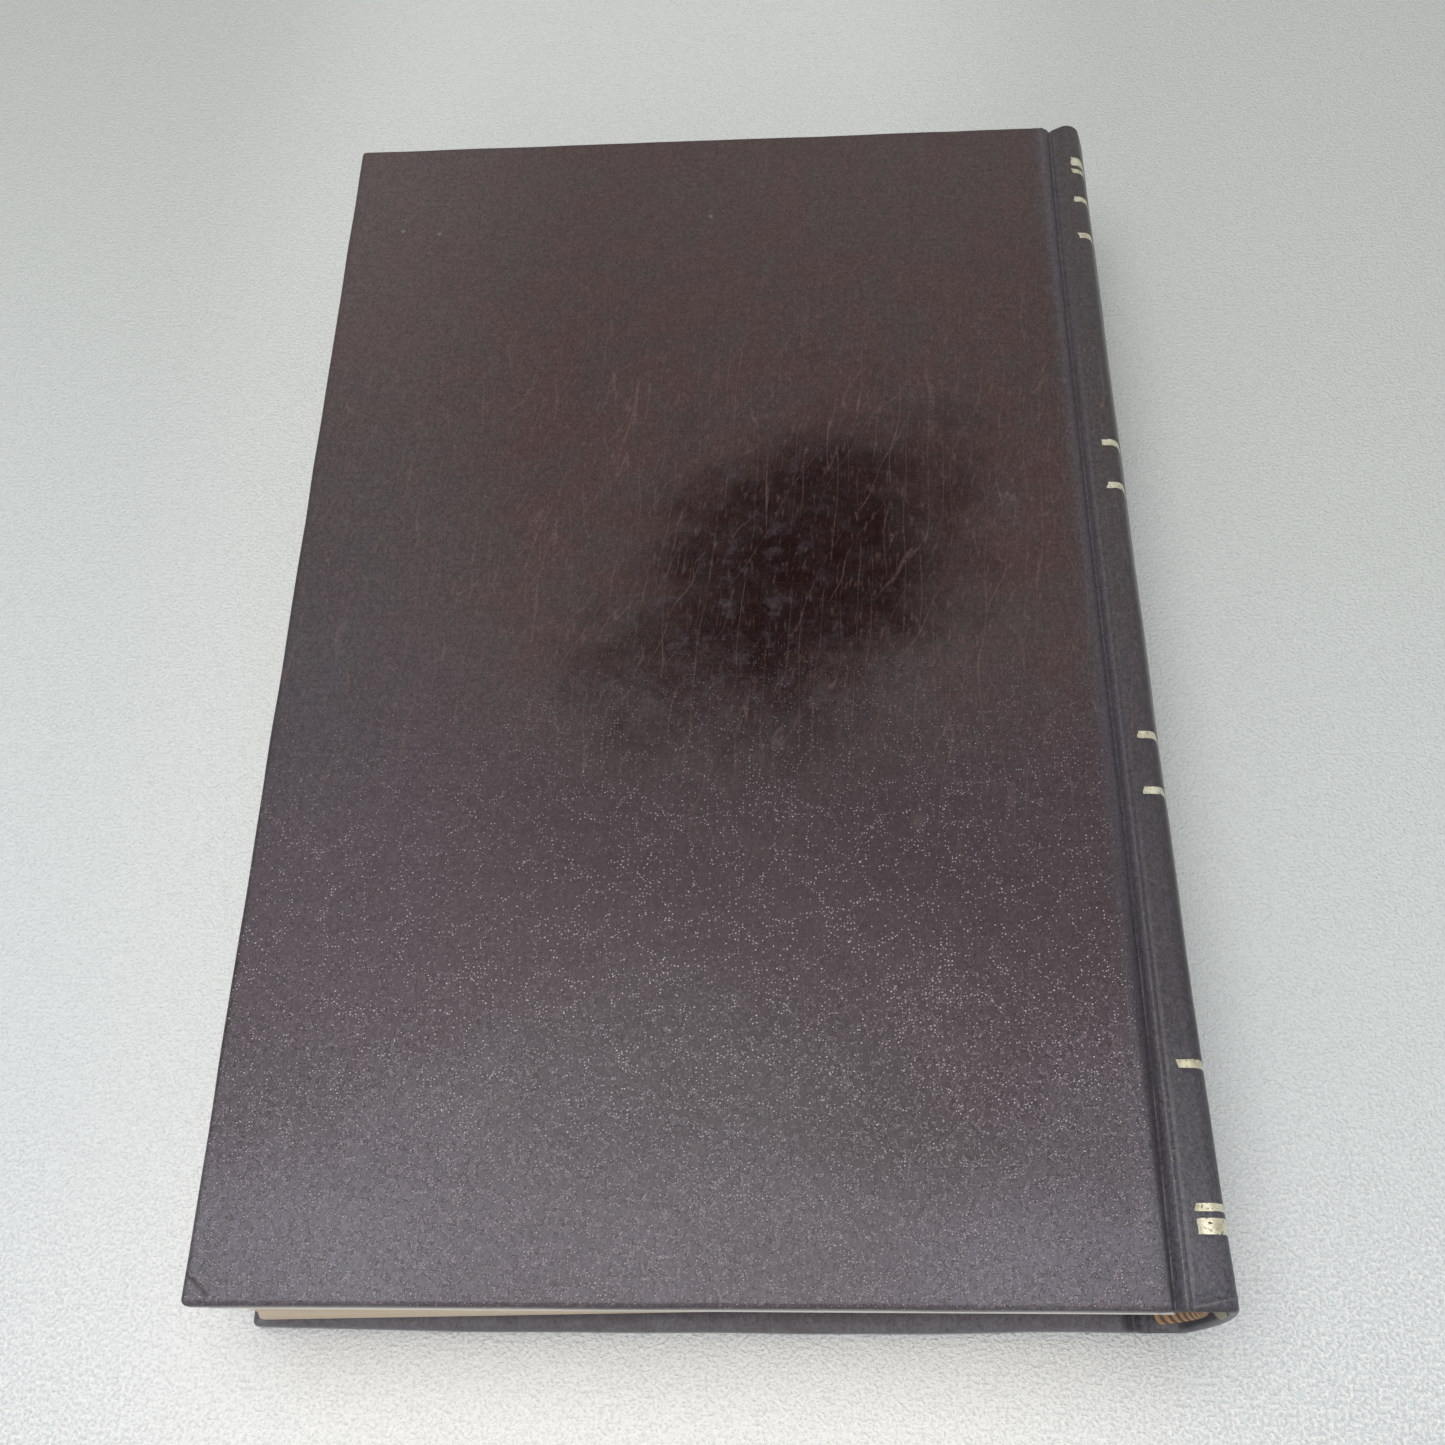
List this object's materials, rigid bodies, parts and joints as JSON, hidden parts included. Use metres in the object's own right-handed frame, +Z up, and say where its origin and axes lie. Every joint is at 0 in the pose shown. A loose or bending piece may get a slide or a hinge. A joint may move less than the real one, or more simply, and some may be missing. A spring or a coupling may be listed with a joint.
{
  "type": "prayer book",
  "caption": "Thick hardback prayer book in dark grained leatherette, with grooved joints, gilt lines over the spine, end bands and folded paper sections.",
  "frame": {"origin": "centre of the footprint, on the face the closed book rests on (the outside of its lower cover)", "axes": "+X towards the spine, +Y towards the head of the pages, +Z up through the closed book; the tail edge faces -Y"},
  "size_m": [0.164, 0.245, 0.0371],
  "materials": {
    "leatherette": "semi-gloss",
    "binder_board": "matt",
    "endpaper": "matt",
    "lining_paper": "matt",
    "page_paper": "matt",
    "cloth": "matt",
    "band_silk": "satin",
    "gilt": "worn satin"
  },
  "bodies": {
    "bottom_cover": {"bottom_board": "binder_board", "bottom_leather": "leatherette", "bottom_joint_leather": "leatherette", "bottom_pastedown": "endpaper", "bottom_flyleaf": "endpaper", "section_01": "page_paper"},
    "section_02": {"section_02": "page_paper"},
    "section_03": {"section_03": "page_paper"},
    "section_04": {"section_04": "page_paper"},
    "section_05": {"section_05": "page_paper"},
    "section_06": {"section_06": "page_paper"},
    "spine": {"spine_leather": "leatherette", "spine_strip": "binder_board", "spine_lining": "lining_paper", "mull": "cloth", "head_band": "band_silk", "tail_band": "band_silk", "sewing_tape_1": "cloth", "sewing_tape_2": "cloth", "sewing_tape_3": "cloth", "sewing_tape_4": "cloth", "gilt_line_01": "gilt", "gilt_line_02": "gilt", "gilt_line_03": "gilt", "gilt_line_04": "gilt", "gilt_line_05": "gilt", "gilt_line_06": "gilt", "gilt_line_07": "gilt", "gilt_line_08": "gilt", "gilt_line_09": "gilt", "gilt_line_10": "gilt", "gilt_line_11": "gilt"},
    "upper_block": {"top_joint_leather": "leatherette", "top_flyleaf": "endpaper", "section_12": "page_paper"},
    "section_07": {"section_07": "page_paper"},
    "section_08": {"section_08": "page_paper"},
    "section_09": {"section_09": "page_paper"},
    "section_10": {"section_10": "page_paper"},
    "section_11": {"section_11": "page_paper"},
    "top_cover": {"top_board": "binder_board", "top_leather": "leatherette", "top_pastedown": "endpaper"}
  },
  "joints": [
    {"name": "book_open", "type": "hinge", "parent": "bottom_cover", "child": "spine", "pos_m": [0.0817, 0, 0.0003], "axis": [0, -1, 0], "range_deg": [-90, 0]},
    {"name": "upper_half_turn", "type": "hinge", "parent": "spine", "child": "upper_block", "pos_m": [0.0817, 0, 0.0368], "axis": [0, -1, 0], "range_deg": [-90, 0]},
    {"name": "top_cover_open", "type": "hinge", "parent": "upper_block", "child": "top_cover", "pos_m": [0.0713, 0, 0.0373], "axis": [0, 1, 0], "range_deg": [0, 175]},
    {"name": "section_02_slip", "type": "slide", "parent": "bottom_cover", "child": "section_02", "axis": [1, 0, 0], "range_m": [0, 0.0039]},
    {"name": "section_03_slip", "type": "slide", "parent": "bottom_cover", "child": "section_03", "axis": [1, 0, 0], "range_m": [0, 0.0077]},
    {"name": "section_04_slip", "type": "slide", "parent": "bottom_cover", "child": "section_04", "axis": [1, 0, 0], "range_m": [0, 0.0115]},
    {"name": "section_05_slip", "type": "slide", "parent": "bottom_cover", "child": "section_05", "axis": [1, 0, 0], "range_m": [0, 0.0153]},
    {"name": "section_06_slip", "type": "slide", "parent": "bottom_cover", "child": "section_06", "axis": [1, 0, 0], "range_m": [0, 0.0191]},
    {"name": "section_07_slip", "type": "slide", "parent": "upper_block", "child": "section_07", "axis": [1, 0, 0], "range_m": [0, 0.0191]},
    {"name": "section_08_slip", "type": "slide", "parent": "upper_block", "child": "section_08", "axis": [1, 0, 0], "range_m": [0, 0.0153]},
    {"name": "section_09_slip", "type": "slide", "parent": "upper_block", "child": "section_09", "axis": [1, 0, 0], "range_m": [0, 0.0115]},
    {"name": "section_10_slip", "type": "slide", "parent": "upper_block", "child": "section_10", "axis": [1, 0, 0], "range_m": [0, 0.0077]},
    {"name": "section_11_slip", "type": "slide", "parent": "upper_block", "child": "section_11", "axis": [1, 0, 0], "range_m": [0, 0.0039]}
  ],
  "couplings": [
    {"joint": "upper_half_turn", "follows": "book_open", "ratio": 1},
    {"joint": "section_02_slip", "follows": "book_open", "m_per_rad": -0.0024192},
    {"joint": "section_03_slip", "follows": "book_open", "m_per_rad": -0.0048383},
    {"joint": "section_04_slip", "follows": "book_open", "m_per_rad": -0.0072575},
    {"joint": "section_05_slip", "follows": "book_open", "m_per_rad": -0.0096766},
    {"joint": "section_06_slip", "follows": "book_open", "m_per_rad": -0.012096},
    {"joint": "section_07_slip", "follows": "book_open", "m_per_rad": -0.012096},
    {"joint": "section_08_slip", "follows": "book_open", "m_per_rad": -0.0096766},
    {"joint": "section_09_slip", "follows": "book_open", "m_per_rad": -0.0072575},
    {"joint": "section_10_slip", "follows": "book_open", "m_per_rad": -0.0048383},
    {"joint": "section_11_slip", "follows": "book_open", "m_per_rad": -0.0024192}
  ]
}
